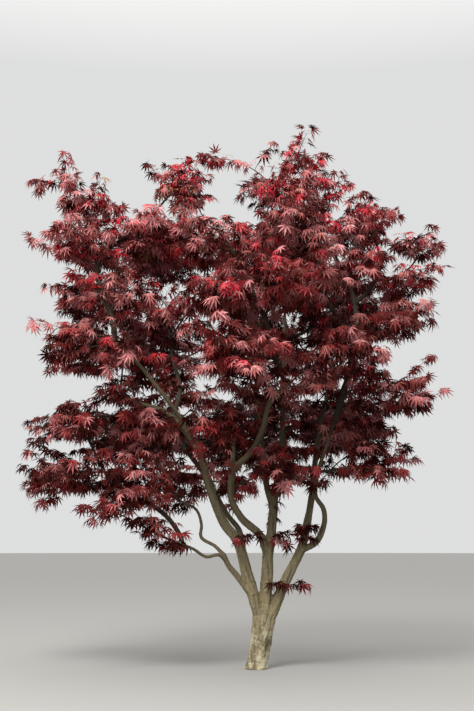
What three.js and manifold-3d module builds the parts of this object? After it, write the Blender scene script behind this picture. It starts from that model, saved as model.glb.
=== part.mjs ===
// A Japanese maple with red-purple leaves: a short trunk, three main limbs and a layered crown.
// Millimetres, +Z up. The origin is the middle of the flat cut under the trunk, at ground level;
// +X is to the right and -Y is the front.
import * as THREE from "three";
import { mergeVertices } from "three/addons/utils/BufferGeometryUtils.js";
import Module from "manifold-3d";

const wasm = await Module();
wasm.setup();

// Clearances: where one limb springs from another, between neighbouring masses of leaves, and at
// the end of a limb that runs into a mass.
const GAP = 0.4;
const MASS_GAP = 1.5;
const LIMB_END_GAP = 1;

// Trunk: its radius above the flare, the extra radius at the ground and the height it fades over,
// and how many buttresses the flare has and how far they stand out.
const TRUNK_RADIUS = 54;
const FLARE = 17;
const FLARE_HEIGHT = 55;
const BUTTRESSES = 5;
const BUTTRESS_SHARE = 0.4;

// Sides and steps of the tubes: the trunk, the limbs, and the limbs thinner than TWIG_RADIUS.
const TRUNK_SIDES = 15;
const TRUNK_STEPS = 8;
const STUB_STEPS = 3;
const LIMB_SIDES = 8;
const TWIG_SIDES = 6;
const TWIG_RADIUS = 15;

// The balls that masses are made from, with fewer faces where a mass is narrower than SMALL_MASS.
const BALL = { sides: 12, rings: 6 };
const SMALL_BALL = { sides: 8, rings: 5 };
const SMALL_MASS = 160;

// A mass's unevenness, how much flatter it is underneath, how far its rim droops in half heights,
// and how sharply it is drawn out to its tip.
const UNEVENNESS = 0.3;
const UNDERSIDE = 0.85;
const DROOP = 0.18;
const TIP_SHARPNESS = 12;

// Vertices closer than this are one.
const MERGE = 1e-4;

// The trunk's centreline from the ground to the fork.
const TRUNK_LINE = [[0, 0, 0], [6, 0, 100], [28, 0, 190], [45, 0, 280], [52, 0, 370]];

// The share of each main limb's line that is one piece with the trunk, and the share of any other
// limb's line that is sure to be clear of the limb that bears it.
const STUB = 0.16;
const CLEAR_OF_FOOT = 0.1;

// Limbs: a centreline and the radii at its two ends. A limb that springs from the trunk says so,
// and any other starts inside a limb listed before it.
const LIMBS = {
  left_main: {
    line: [[28, 0, 250], [-20, -14, 405], [-62, -28, 540], [-98, -44, 680], [-200, -85, 830],
      [-262, -130, 985], [-335, -225, 1215], [-480, -340, 1390], [-650, -260, 1470]],
    radii: [40, 15],
    onTrunk: true,
  },
  centre_main: {
    line: [[50, 0, 290], [55, 0, 450], [66, 5, 620], [90, 26, 790], [108, 66, 960],
      [150, 110, 1130], [165, 150, 1500], [185, 100, 2165]],
    radii: [42, 12],
    onTrunk: true,
  },
  right_main: {
    line: [[60, 0, 250], [122, -4, 405], [182, -14, 520], [255, -22, 660], [292, 20, 795],
      [332, 88, 980], [375, 160, 1305], [460, 200, 1680]],
    radii: [40, 13],
    onTrunk: true,
  },
  left_low: {
    line: [[-40, -20, 425], [-105, -40, 500], [-160, -58, 570], [-190, -72, 640]],
    radii: [19, 13],
  },
  left_low_outer: {
    line: [[-168, -62, 590], [-215, -85, 628], [-285, -112, 618], [-365, -145, 665], [-510, -190, 722],
      [-700, -245, 818]],
    radii: [11, 7],
  },
  left_low_upper: {
    line: [[-186, -70, 625], [-240, -55, 678], [-318, -40, 728], [-318, -28, 800], [-350, -12, 885],
      [-440, 0, 935]],
    radii: [11, 8],
  },
  left_inner: {
    line: [[-88, -38, 650], [-100, 0, 765], [-165, 42, 852], [-235, 90, 980], [-335, 180, 1220]],
    radii: [18, 11],
  },
  left_front: {
    line: [[-335, -225, 1215], [-415, -330, 1360], [-550, -420, 1535], [-700, -470, 1710],
      [-840, -390, 1830]],
    radii: [14, 8],
  },
  centre_left: {
    line: [[70, 5, 630], [22, -18, 735], [-88, -60, 838], [-146, -100, 950], [-138, -128, 1120],
      [-132, -142, 1260]],
    radii: [24, 15],
  },
  centre_left_fork: {
    line: [[-140, -125, 1105], [-35, -142, 1205], [32, -160, 1330], [80, -182, 1490],
      [205, -200, 1610]],
    radii: [18, 13],
  },
  centre_back: {
    line: [[104, 55, 900], [62, 80, 1030], [40, 250, 1315], [5, 450, 1725]],
    radii: [21, 12],
  },
  right_outer: {
    line: [[255, -22, 655], [340, -62, 702], [384, -88, 800], [380, -104, 885], [335, -120, 960],
      [350, -140, 1090], [420, -180, 1300]],
    radii: [18, 11],
  },
};

// The crown's tiers of leaves: each stack rises from its lowest mass to its highest, with the
// middles and half sizes (across, front to back, up) of those two, or is one mass. A tilt, in
// radians, lifts the left side of every mass in the stack, and a reach [across, up] draws the
// highest mass out to a pointed tip that far from its middle.
const STACKS = {
  upper_left: {
    low: [-1025, -150, 2450], high: [-1020, -100, 2745], tiers: 2, tilt: 0.2,
    lowSize: [255, 380, 170], highSize: [275, 340, 118], reach: [-385, 145],
  },
  mid_left: {
    low: [-1000, -150, 1825], high: [-900, -50, 2125], tiers: 2,
    lowSize: [255, 450, 180], highSize: [365, 400, 145], reach: [-360, 40],
  },
  left_spire: {
    low: [-630, -60, 2510], high: [-465, 0, 2830], tiers: 2,
    lowSize: [250, 380, 165], highSize: [210, 280, 145],
  },
  left_top: {
    low: [-300, 30, 3030], lowSize: [150, 170, 82], tilt: -0.15, reach: [185, 80],
  },
  heart_left: {
    low: [-60, -500, 1705], high: [-280, -200, 2455], tiers: 3,
    lowSize: [320, 420, 200], highSize: [260, 450, 165],
  },
  centre_spire: {
    low: [254, -100, 2530], high: [215, 0, 2830], tiers: 2,
    lowSize: [318, 480, 175], highSize: [330, 320, 165],
  },
  centre_top: {
    low: [270, 0, 3045], lowSize: [175, 180, 110], reach: [-60, 165],
  },
  centre_front: {
    low: [484, -450, 1685], high: [214, -550, 2090], tiers: 2,
    lowSize: [300, 420, 205], highSize: [300, 420, 205],
  },
  right_arm: {
    low: [681, 0, 2330], high: [650, 0, 2610], tiers: 2, tilt: -0.25,
    lowSize: [225, 450, 170], highSize: [235, 330, 150],
  },
  right_edge: {
    low: [790, 0, 2010], high: [975, 0, 2490], tiers: 3,
    lowSize: [275, 420, 120], highSize: [180, 220, 100], reach: [255, -55],
  },
  right_low: {
    low: [600, -50, 1160], high: [560, -50, 1400], tiers: 2, tilt: -0.1,
    lowSize: [240, 380, 140], highSize: [215, 380, 130],
  },
  right_shelf: {
    low: [880, -50, 1540], lowSize: [210, 350, 135], tilt: -0.15, reach: [235, -10],
  },
  centre_low: {
    low: [205, -150, 1135], high: [190, 200, 1480], tiers: 2,
    lowSize: [255, 400, 135], highSize: [290, 300, 195],
  },
  heart_low: {
    low: [-130, 130, 1075], high: [-232, -470, 1311], tiers: 2,
    lowSize: [150, 200, 115], highSize: [155, 130, 98],
  },
  low_left: {
    low: [-700, -150, 1025], high: [-600, 50, 1745], tiers: 3, tilt: -0.1,
    lowSize: [275, 320, 210], highSize: [285, 280, 185],
  },
  low_left_edge: {
    low: [-1150, 0, 1085], high: [-1050, 0, 1385], tiers: 2,
    lowSize: [245, 300, 165], highSize: [245, 350, 155],
  },
  low_inner: {
    low: [-431, 150, 1060], lowSize: [200, 300, 165],
  },
  low_spray: {
    low: [-472, -190, 672], high: [-616, -230, 792], tiers: 2,
    lowSize: [125, 120, 82], highSize: [158, 150, 71],
  },
  back_left: {
    low: [-700, 600, 1400], high: [-600, 500, 2580], tiers: 3,
    lowSize: [400, 380, 240], highSize: [300, 350, 230],
  },
  back_centre: {
    low: [-60, 700, 1430], high: [150, 550, 2550], tiers: 3,
    lowSize: [340, 400, 300], highSize: [370, 380, 260],
  },
  back_right: {
    low: [550, 600, 1450], high: [540, 550, 2230], tiers: 2,
    lowSize: [310, 380, 250], highSize: [370, 380, 280],
  },
};

// Small tufts of leaves that sprout from the bark, round the limbs: middles and half sizes.
const TUFTS = {
  tuft_left: { at: [-105, -95, 690], size: [75, 65, 75] },
  tuft_right: { at: [290, -35, 805], size: [70, 65, 130] },
  tuft_fork: { at: [205, -55, 462], size: [110, 60, 62] },
};

const BARK = { color: 0x746a5d, roughness: 0.85, metalness: 0 };
const LEAVES = { color: 0x6e1f28, roughness: 0.6, metalness: 0 };

const UP = new THREE.Vector3(0, 0, 1);
const FRONT_TO_BACK = new THREE.Vector3(0, 1, 0);

const vector = (point) => new THREE.Vector3(...point);
const smoothLine = (points) => new THREE.CatmullRomCurve3(points.map(vector), false, "centripetal");
const blend = (a, b, t) => a.map((value, k) => value + (b[k] - value) * t);

// A repeatable number from 0 to 1 for each seed.
function chance(seed) {
  const wave = Math.sin(seed * 12.9898) * 43758.5453;
  return wave - Math.floor(wave);
}

// A closed geometry as a solid, its corners merged.
function toSolid(geometry) {
  const bare = geometry.clone();
  bare.deleteAttribute("normal");
  bare.deleteAttribute("uv");
  const merged = mergeVertices(bare, MERGE);
  const vertProperties = new Float32Array(merged.attributes.position.array);
  const triVerts = new Uint32Array(merged.index.array);
  return new wasm.Manifold(new wasm.Mesh({ numProp: 3, vertProperties, triVerts }));
}

// A solid as a flat-shaded geometry.
function toGeometry(solid) {
  const mesh = solid.getMesh();
  const geometry = new THREE.BufferGeometry();
  geometry.setAttribute("position", new THREE.Float32BufferAttribute(mesh.vertProperties, 3));
  geometry.setIndex(new THREE.Uint32BufferAttribute(mesh.triVerts, 1));
  const faceted = geometry.toNonIndexed();
  faceted.computeVertexNormals();
  return faceted;
}

const largestBody = (solid) => solid.decompose().reduce((a, b) => (b.volume() > a.volume() ? b : a));

// How near a solid's corners come to a point.
function nearness(solid, point) {
  const corners = solid.getMesh().vertProperties;
  let least = Infinity;
  for (let i = 0; i < corners.length; i += 3) {
    least = Math.min(least, point.distanceTo(new THREE.Vector3().fromArray(corners, i)));
  }
  return least;
}

// Of the bodies that a cut leaves, the one that comes nearest to a point.
const nearestBody = (solid, point) =>
  solid.decompose().reduce((a, b) => (nearness(b, point) < nearness(a, point) ? b : a));

// A closed tube: rings of points carried along a curve from one share of it to another, each ring
// turned as little as possible from the one before, with a flat face at each end. A level foot
// makes the first ring horizontal.
function tube(curve, radiusAt, { sides, steps, from = 0, to = 1, levelFoot = false }) {
  const positions = [];
  const index = [];
  let across = new THREE.Vector3(1, 0, 0);
  for (let i = 0; i <= steps; i++) {
    const t = THREE.MathUtils.lerp(from, to, i / steps);
    const centre = curve.getPoint(t);
    const along = levelFoot && i === 0 ? UP : curve.getTangent(t);
    across = across.clone().addScaledVector(along, -across.dot(along)).normalize();
    const sideways = new THREE.Vector3().crossVectors(along, across);
    for (let j = 0; j < sides; j++) {
      const angle = (2 * Math.PI * j) / sides;
      const radius = radiusAt(t, angle, centre);
      const point = centre.clone().addScaledVector(across, radius * Math.cos(angle));
      point.addScaledVector(sideways, radius * Math.sin(angle));
      positions.push(...point.toArray());
    }
  }
  const corner = (i, j) => i * sides + (j % sides);
  for (let i = 0; i < steps; i++) {
    for (let j = 0; j < sides; j++) {
      index.push(corner(i, j), corner(i, j + 1), corner(i + 1, j + 1));
      index.push(corner(i, j), corner(i + 1, j + 1), corner(i + 1, j));
    }
  }
  for (let j = 1; j < sides - 1; j++) {
    index.push(corner(0, 0), corner(0, j + 1), corner(0, j));
    index.push(corner(steps, 0), corner(steps, j), corner(steps, j + 1));
  }
  const geometry = new THREE.BufferGeometry();
  geometry.setAttribute("position", new THREE.Float32BufferAttribute(positions, 3));
  geometry.setIndex(index);
  return geometry;
}

// A limb tapers evenly from its first radius to its last, which `grow` adds to.
function limbTube({ line, radii }, { grow = 0, steps = 2 * line.length - 2, ...span } = {}) {
  const radiusAt = (t) => THREE.MathUtils.lerp(radii[0], radii[1], t) + grow;
  const sides = radii[1] < TWIG_RADIUS ? TWIG_SIDES : LIMB_SIDES;
  return toSolid(tube(smoothLine(line), radiusAt, { sides, steps, ...span }));
}

// The trunk flares into buttresses at the ground, and is fused with the feet of its limbs.
function trunkSolid() {
  const radiusAt = (t, angle, centre) => {
    const buttress = 1 + BUTTRESS_SHARE * Math.cos(BUTTRESSES * angle);
    return TRUNK_RADIUS + FLARE * Math.exp(-centre.z / FLARE_HEIGHT) * buttress;
  };
  const shape = { sides: TRUNK_SIDES, steps: TRUNK_STEPS, levelFoot: true };
  let trunk = toSolid(tube(smoothLine(TRUNK_LINE), radiusAt, shape));
  for (const limb of Object.values(LIMBS).filter((limb) => limb.onTrunk)) {
    trunk = trunk.add(limbTube(limb, { to: STUB, steps: STUB_STEPS }));
  }
  return trunk;
}

// A limb's body: cut off flat above its stub where it stands on the trunk, cut back from the limbs
// and masses in the way, and kept only as far as its foot's piece goes.
function limbSolid(limb, inTheWay) {
  const curve = smoothLine(limb.line);
  const foot = curve.getPoint(limb.onTrunk ? STUB : CLEAR_OF_FOOT);
  let solid = limbTube(limb);
  if (limb.onTrunk) {
    const along = curve.getTangent(STUB);
    solid = solid.trimByPlane(along.toArray(), along.dot(foot) + GAP);
  }
  for (const other of inTheWay) {
    solid = solid.subtract(other);
  }
  return nearestBody(solid, foot);
}

// The unevenness of one mass in each direction: five waves that run through it at random.
function lumps(seed) {
  const waves = [1, 2, 3, 4, 5].map((k) => {
    const turn = 2 * Math.PI * chance(seed + 10 * k);
    const rise = 2 * chance(seed + 20 * k) - 1;
    const axis = new THREE.Vector3(Math.cos(turn), Math.sin(turn), rise).normalize();
    return { axis, pitch: 6 + 5 * chance(seed + 30 * k), phase: 2 * Math.PI * chance(seed + 40 * k) };
  });
  const height = (wave, direction) => Math.sin(wave.pitch * direction.dot(wave.axis) + wave.phase);
  return (direction) => waves.reduce((sum, wave) => sum + height(wave, direction), 0) / waves.length;
}

// A mass of leaves: an uneven ball stretched to its half sizes, flatter underneath, drooping at
// the rim, tilted, and drawn out to a tip on the side that its reach names.
function massSolid({ at, size, tilt = 0, reach, seed }, grow = 0) {
  const half = size.map((value) => value + grow);
  const { sides, rings } = size[0] < SMALL_MASS ? SMALL_BALL : BALL;
  const ball = new THREE.SphereGeometry(1, sides, rings).rotateX(Math.PI / 2).rotateZ(seed);
  const position = ball.attributes.position;
  const lump = lumps(seed);
  const directions = [];
  for (let i = 0; i < position.count; i++) {
    directions.push(new THREE.Vector3().fromBufferAttribute(position, i).normalize());
  }
  const tip = reach ? new THREE.Vector3(reach[0], 0, reach[1]) : new THREE.Vector3();
  const toward = tip.clone().divide(vector(half)).normalize();
  const closest = Math.max(...directions.map((direction) => direction.dot(toward)));
  directions.forEach((direction, i) => {
    const point = direction.clone().multiply(vector(half));
    point.z *= direction.z < 0 ? UNDERSIDE : 1;
    point.multiplyScalar(1 + UNEVENNESS * lump(direction));
    point.z -= DROOP * half[2] * (1 - direction.z ** 2);
    point.applyAxisAngle(FRONT_TO_BACK, tilt);
    if (reach) {
      point.lerp(tip, Math.max(0, direction.dot(toward) / closest) ** TIP_SHARPNESS);
    }
    point.add(vector(at));
    position.setXYZ(i, ...point.toArray());
  });
  return toSolid(ball);
}

// The masses of a stack, lowest first.
function stackMasses(name, stack, firstSeed) {
  const { low, lowSize, tiers = 1, high = low, highSize = lowSize, tilt, reach } = stack;
  const masses = [];
  for (let i = 0; i < tiers; i++) {
    const t = tiers > 1 ? i / (tiers - 1) : 0;
    masses.push({
      name: tiers > 1 ? `${name}_${i + 1}` : name,
      at: blend(low, high, t),
      size: blend(lowSize, highSize, t),
      tilt,
      reach: i === tiers - 1 ? reach : undefined,
      seed: firstSeed + i,
    });
  }
  return masses;
}

// Two masses that run into each other are parted by a plane across the line between their middles,
// set in proportion to how far each one reaches along that line.
function partMasses(a, b) {
  const middle = vector(a.at);
  const along = vector(b.at).sub(middle);
  const distance = along.length();
  along.normalize();
  const extent = (mass) => vector(mass.size).multiply(along).length();
  const plane = middle.dot(along) + (distance * extent(a)) / (extent(a) + extent(b));
  a.solid = a.solid.trimByPlane(along.clone().negate().toArray(), MASS_GAP / 2 - plane);
  b.solid = b.solid.trimByPlane(along.toArray(), MASS_GAP / 2 + plane);
}

// The crown: every stack's masses, parted from each other.
function crownMasses() {
  const masses = [];
  for (const [name, stack] of Object.entries(STACKS)) {
    masses.push(...stackMasses(name, stack, masses.length + 1));
  }
  for (const mass of masses) {
    mass.solid = massSolid(mass);
  }
  masses.forEach((a, i) => {
    for (const b of masses.slice(i + 1)) {
      if (!a.solid.intersect(b.solid).isEmpty()) partMasses(a, b);
    }
  });
  return masses;
}

const tree = new THREE.Group();

function addPart(name, solid, look) {
  const mesh = new THREE.Mesh(toGeometry(solid), new THREE.MeshStandardMaterial(look));
  mesh.name = name;
  tree.add(mesh);
}

const crown = crownMasses();
const grownMasses = crown.map((mass) => massSolid(mass, LIMB_END_GAP));
const grownLimbs = [];

addPart("trunk", trunkSolid(), BARK);
for (const [name, limb] of Object.entries(LIMBS)) {
  addPart(name, limbSolid(limb, [...grownLimbs, ...grownMasses]), BARK);
  grownLimbs.push(limbTube(limb, { grow: GAP }));
}
for (const mass of crown) {
  addPart(mass.name, largestBody(mass.solid), LEAVES);
}
Object.entries(TUFTS).forEach(([name, tuft], k) => {
  const ball = massSolid({ ...tuft, seed: crown.length + 1 + k });
  const hollowed = grownLimbs.reduce((solid, limb) => solid.subtract(limb), ball);
  addPart(name, largestBody(hollowed), LEAVES);
});

export default tree;
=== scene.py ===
"""Looks of a red-leaved garden maple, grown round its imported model.

The trunk and limbs become one mesh with the bark's relief. Inside every mass of leaves a wiring
of boughs and twigs grows on from the limbs, and leaves stand along the twigs in opposite pairs.
Metres, +Z up, -Y is the front.
"""

import math

import bpy
import numpy as np
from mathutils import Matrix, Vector
from mathutils.bvhtree import BVHTree


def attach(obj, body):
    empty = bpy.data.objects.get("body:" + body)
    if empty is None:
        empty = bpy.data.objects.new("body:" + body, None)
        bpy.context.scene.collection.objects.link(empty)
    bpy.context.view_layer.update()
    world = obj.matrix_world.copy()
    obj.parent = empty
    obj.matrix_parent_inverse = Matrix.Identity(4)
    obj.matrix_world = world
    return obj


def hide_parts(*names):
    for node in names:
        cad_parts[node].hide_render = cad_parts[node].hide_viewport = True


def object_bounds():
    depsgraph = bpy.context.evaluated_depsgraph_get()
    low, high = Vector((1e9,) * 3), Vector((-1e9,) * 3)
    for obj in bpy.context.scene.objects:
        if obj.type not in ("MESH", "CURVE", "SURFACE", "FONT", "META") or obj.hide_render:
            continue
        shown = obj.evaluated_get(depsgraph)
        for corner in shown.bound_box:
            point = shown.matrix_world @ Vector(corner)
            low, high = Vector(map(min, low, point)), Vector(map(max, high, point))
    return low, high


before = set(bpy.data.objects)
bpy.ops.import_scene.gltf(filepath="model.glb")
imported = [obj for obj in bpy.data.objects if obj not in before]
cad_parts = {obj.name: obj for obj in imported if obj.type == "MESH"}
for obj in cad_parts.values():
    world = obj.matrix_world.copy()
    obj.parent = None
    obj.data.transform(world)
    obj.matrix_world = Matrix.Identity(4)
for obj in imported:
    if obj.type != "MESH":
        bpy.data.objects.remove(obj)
cad_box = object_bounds()

SEED = 11
chance = np.random.default_rng(SEED)

# ---- The tree's named sizes ----

# Trunk: centreline, radius above the flare, extra radius at the ground, the height it fades over,
# how many buttresses there are and how far they stand out, and how much it narrows in the fork.
TRUNK_LINE = [(0, 0, 0), (0.006, 0, 0.1), (0.028, 0, 0.19), (0.045, 0, 0.28), (0.052, 0, 0.37)]
TRUNK_RADIUS = 0.045
FLARE = 0.019
FLARE_HEIGHT = 0.055
BUTTRESSES = 5
BUTTRESS_SHARE = 0.4
TRUNK_END = 0.35
TRUNK_STEPS = 44

# Each limb runs on down the trunk as a rounded rib, with furrows between the ribs: their lines,
# which start a little below ground and are cut level there, and their radius at the foot and what
# it gains upwards.
LIMB_RUNS = [
    [(-0.047, -0.01, -0.012), (-0.008, -0.012, 0.11), (0.014, -0.006, 0.28)],
    [(0.004, -0.036, -0.012), (0.03, -0.022, 0.15), (0.052, -0.005, 0.33)],
    [(0.03, 0.004, -0.012), (0.044, 0.002, 0.13), (0.07, 0, 0.27)],
    [(0.004, 0.036, -0.012), (0.026, 0.024, 0.15), (0.05, 0.005, 0.33)],
]
RUN_RADIUS, RUN_GAIN = 0.028, 0.009

# Limbs: the radii at both ends and the centreline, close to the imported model's. The first three
# spring from the trunk, and any other swells into a collar where it springs from a limb.
LIMBS = {
    "left_main": ((0.037, 0.015), [
        (0.028, 0, 0.25), (-0.02, -0.014, 0.405), (-0.062, -0.028, 0.54), (-0.098, -0.044, 0.68),
        (-0.2, -0.085, 0.83), (-0.262, -0.13, 0.985), (-0.335, -0.225, 1.215),
        (-0.48, -0.34, 1.39), (-0.65, -0.26, 1.47)]),
    "centre_main": ((0.039, 0.012), [
        (0.05, 0, 0.29), (0.055, 0, 0.45), (0.066, 0.005, 0.62), (0.09, 0.026, 0.79),
        (0.108, 0.066, 0.96), (0.15, 0.11, 1.13), (0.165, 0.15, 1.5), (0.185, 0.1, 2.165)]),
    "right_main": ((0.035, 0.013), [
        (0.06, 0, 0.25), (0.131, -0.004, 0.405), (0.182, -0.014, 0.52), (0.255, -0.022, 0.66),
        (0.292, 0.02, 0.795), (0.332, 0.088, 0.98), (0.375, 0.16, 1.305), (0.46, 0.2, 1.68)]),
    "left_low": ((0.019, 0.013), [
        (-0.04, -0.02, 0.425), (-0.105, -0.04, 0.5), (-0.16, -0.058, 0.57), (-0.19, -0.072, 0.64)]),
    "left_low_outer": ((0.011, 0.007), [
        (-0.168, -0.062, 0.59), (-0.215, -0.085, 0.628), (-0.285, -0.112, 0.618),
        (-0.365, -0.145, 0.665), (-0.51, -0.19, 0.722), (-0.7, -0.245, 0.818)]),
    "left_low_upper": ((0.011, 0.008), [
        (-0.186, -0.07, 0.625), (-0.24, -0.055, 0.678), (-0.318, -0.04, 0.728),
        (-0.318, -0.028, 0.8), (-0.35, -0.012, 0.885), (-0.44, 0, 0.935)]),
    "left_inner": ((0.018, 0.011), [
        (-0.088, -0.038, 0.65), (-0.1, 0, 0.765), (-0.165, 0.042, 0.852), (-0.235, 0.09, 0.98),
        (-0.335, 0.18, 1.22)]),
    "left_front": ((0.014, 0.008), [
        (-0.335, -0.225, 1.215), (-0.415, -0.33, 1.36), (-0.55, -0.42, 1.535),
        (-0.7, -0.47, 1.71), (-0.84, -0.39, 1.83)]),
    "centre_left": ((0.024, 0.015), [
        (0.07, 0.005, 0.63), (0.022, -0.018, 0.735), (-0.088, -0.06, 0.838),
        (-0.146, -0.1, 0.95), (-0.138, -0.128, 1.12), (-0.132, -0.142, 1.26)]),
    "centre_left_fork": ((0.018, 0.013), [
        (-0.14, -0.125, 1.105), (-0.035, -0.142, 1.205), (0.032, -0.16, 1.33),
        (0.08, -0.182, 1.49), (0.205, -0.2, 1.61)]),
    "centre_back": ((0.021, 0.012), [
        (0.104, 0.055, 0.9), (0.062, 0.08, 1.03), (0.04, 0.25, 1.315), (0.005, 0.45, 1.725)]),
    "right_outer": ((0.018, 0.011), [
        (0.255, -0.022, 0.655), (0.34, -0.062, 0.702), (0.384, -0.088, 0.8),
        (0.38, -0.104, 0.885), (0.335, -0.12, 0.96), (0.35, -0.14, 1.09), (0.42, -0.18, 1.3)]),
}
MAIN_LIMBS = list(LIMBS)[:3]

# Leaf layers inside a mass: height of one layer, spacing of the sprays along it, how far a layer
# droops towards its rim, how far inside the mass's skin the sprays stay, how far leaves reach out
# from a spray, the share of sprays kept deep inside, and the depth over which they thin out.
LAYER_HEIGHT = 0.096
SPRAY_SPACING = 0.069
LAYER_DROOP = 0.3
SKIN = 0.026
REACH = 0.05
KEPT_DEEP = 0.45
THINNING = 0.08

# Shoots beyond the masses: the share of places that send one out, its shortest and longest step,
# and the room left to the tree's bounds below and above.
SHOOT_SHARE = 0.25
SHOOT_STEP = (0.06, 0.13)
SHOOT_ROOM = (0.02, 0.045)

# Loose sprays outside the masses: middle, half sizes and how many. They half close the gaps
# between masses, hang in front of the limbs, and sprout from the bark.
LOOSE_SPRAYS = {
    "beside_heart": (-0.52, -0.05, 2.05, 0.13, 0.22, 0.13, 34),
    "under_heart": (-0.35, -0.22, 1.92, 0.1, 0.12, 0.07, 13),
    "behind_limbs": (-0.37, 0.15, 1.56, 0.19, 0.12, 0.13, 16),
    "left_gap": (-0.84, 0.0, 1.58, 0.11, 0.14, 0.09, 22),
    "low_left_gap": (-0.93, -0.1, 1.2, 0.11, 0.12, 0.06, 12),
    "centre_gap": (0.03, -0.15, 1.58, 0.26, 0.12, 0.06, 20),
    "right_gap": (0.58, -0.1, 1.58, 0.19, 0.14, 0.06, 21),
    "right_shoulder": (0.48, -0.15, 2.3, 0.14, 0.12, 0.06, 8),
    "centre_right": (0.4, -0.16, 1.86, 0.22, 0.18, 0.05, 18),
    "right_inner_gap": (0.31, -0.1, 1.66, 0.12, 0.15, 0.08, 10),
    "left_of_limb": (-0.37, -0.16, 1.16, 0.11, 0.1, 0.07, 12),
    "under_heart_low": (-0.37, -0.14, 1.53, 0.14, 0.12, 0.09, 13),
    "top_left_saddle": (-0.38, 0.0, 2.96, 0.1, 0.1, 0.05, 4),
    "low_edge_top": (-1.08, -0.15, 1.4, 0.12, 0.12, 0.07, 9),
    "low_edge_foot": (-1.06, -0.2, 1.1, 0.12, 0.1, 0.08, 7),
    "low_right_foot": (0.61, -0.15, 1.11, 0.12, 0.1, 0.05, 7),
    "heart_gap": (-0.5, -0.12, 1.59, 0.17, 0.1, 0.05, 12),
    "before_left_main": (-0.5, -0.36, 1.36, 0.11, 0.06, 0.1, 12),
    "before_left_front": (-0.76, -0.55, 1.71, 0.11, 0.06, 0.1, 16),
    "before_heart_low": (-0.235, -0.42, 1.29, 0.13, 0.06, 0.09, 14),
    "under_low_spray": (-0.5, -0.2, 0.77, 0.15, 0.08, 0.09, 15),
    "low_right_rim": (0.8, -0.1, 1.2, 0.1, 0.12, 0.05, 8),
    "inside_right_outer": (0.285, -0.08, 0.8, 0.04, 0.04, 0.09, 7),
    "on_centre_main": (0.13, -0.04, 0.74, 0.05, 0.05, 0.07, 4),
    "before_centre_left": (-0.21, -0.2, 1.09, 0.07, 0.04, 0.05, 4),
    "beside_centre_left": (-0.05, -0.14, 1.0, 0.06, 0.04, 0.05, 3),
    "low_left_rim": (-1.19, -0.1, 0.91, 0.07, 0.06, 0.04, 3),
    "above_centre_left": (-0.14, -0.18, 1.36, 0.05, 0.05, 0.05, 3),
    "before_left_bough": (-0.8, -0.44, 2.04, 0.13, 0.08, 0.28, 26),
    "upper_left": (-0.86, -0.1, 2.56, 0.11, 0.1, 0.12, 13),
    "left_of_sky_gap": (-0.62, -0.1, 2.2, 0.07, 0.1, 0.03, 5),
    "low_left_top": (-0.72, -0.2, 1.52, 0.17, 0.1, 0.04, 8),
    "on_trunk": (0.115, -0.035, 0.45, 0.02, 0.015, 0.03, 1),
    "at_fork": (0.21, -0.03, 0.46, 0.03, 0.02, 0.02, 1),
    "before_low_right": (0.1, -0.3, 1.2, 0.1, 0.06, 0.05, 4),
}

# Loose sprays lower than this count as deep in the shade.
SHADE_HEIGHT = 0.85
DEEP, SHALLOW = 0.13, 0.04

# Shoots that break the crown's outline: where each one ends.
RIM_SHOOTS = [
    (-1.35, -0.05, 2.88), (-1.36, 0, 2.52), (-0.96, 0, 2.92), (-0.66, 0, 3.0), (-0.58, 0, 2.96),
    (-0.17, 0.05, 3.08), (-0.08, 0, 3.02), (0.02, 0, 3.03), (0.1, 0, 3.12), (0.4, 0, 3.06),
    (0.52, 0, 2.94), (0.66, 0, 2.84), (0.9, 0.05, 2.66), (1.08, 0, 2.58), (1.05, 0, 2.42),
    (1.02, 0, 2.1), (1.03, 0, 1.78), (0.96, 0, 1.55), (0.9, -0.05, 1.17),
    (-1.34, -0.05, 1.12), (-1.3, -0.06, 1.2), (-1.22, -0.08, 0.92), (-1.24, 0, 2.22),
]

# Wiring: cost of a longer way back to the ground, of turning, and of climbing, and how near a loose
# spray has to be for a bare limb to carry it.
LONG_WAY = 0.32
TURNING = 0.55
CLIMBING = 1.35
NEARBY = 0.09

# Twigs: radius of a tip, the power by which radii add up at a fork, the radius up to which a twig
# bears leaves, and the thickest end of a bough.
TIP_RADIUS = 0.0013
FORK_POWER = 2.25
LEAFY_RADIUS = 0.0036
BOUGH_RADIUS = 0.013

# Leaves: length of the middle lobe, of the leaf stalk, the stalk's radius, and the distance between
# pairs. Then how far the blades sink and roll, as a mean and a spread in radians.
LEAF = 0.061
STALK = 0.034
STALK_RADIUS = 0.0009
PAIR_SPACING = 0.035
SINK, SINK_SPREAD = 0.72, 0.34
ROLL_SPREAD = 0.4

# How much thinner a limb gets at its very end, how much thicker at its collar, and the step of the
# fused wood.
LIMB_END = 0.45
COLLAR = 0.3
REMESH = 0.0043

# Bark relief: height of the ridges, cracks, wrinkles and scars, and depth of the furrows.
RIDGE, CRACK, WRINKLE, SCAR, FURROW = 0.0019, 0.0007, 0.0005, 0.0026, 0.0026

UP = np.array([0, 0, 1.0])


# ---- Small tools ----

def unit(rows):
    """Each row divided by its own length."""
    return rows / np.maximum(np.linalg.norm(rows, axis=-1, keepdims=True), 1e-12)


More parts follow.
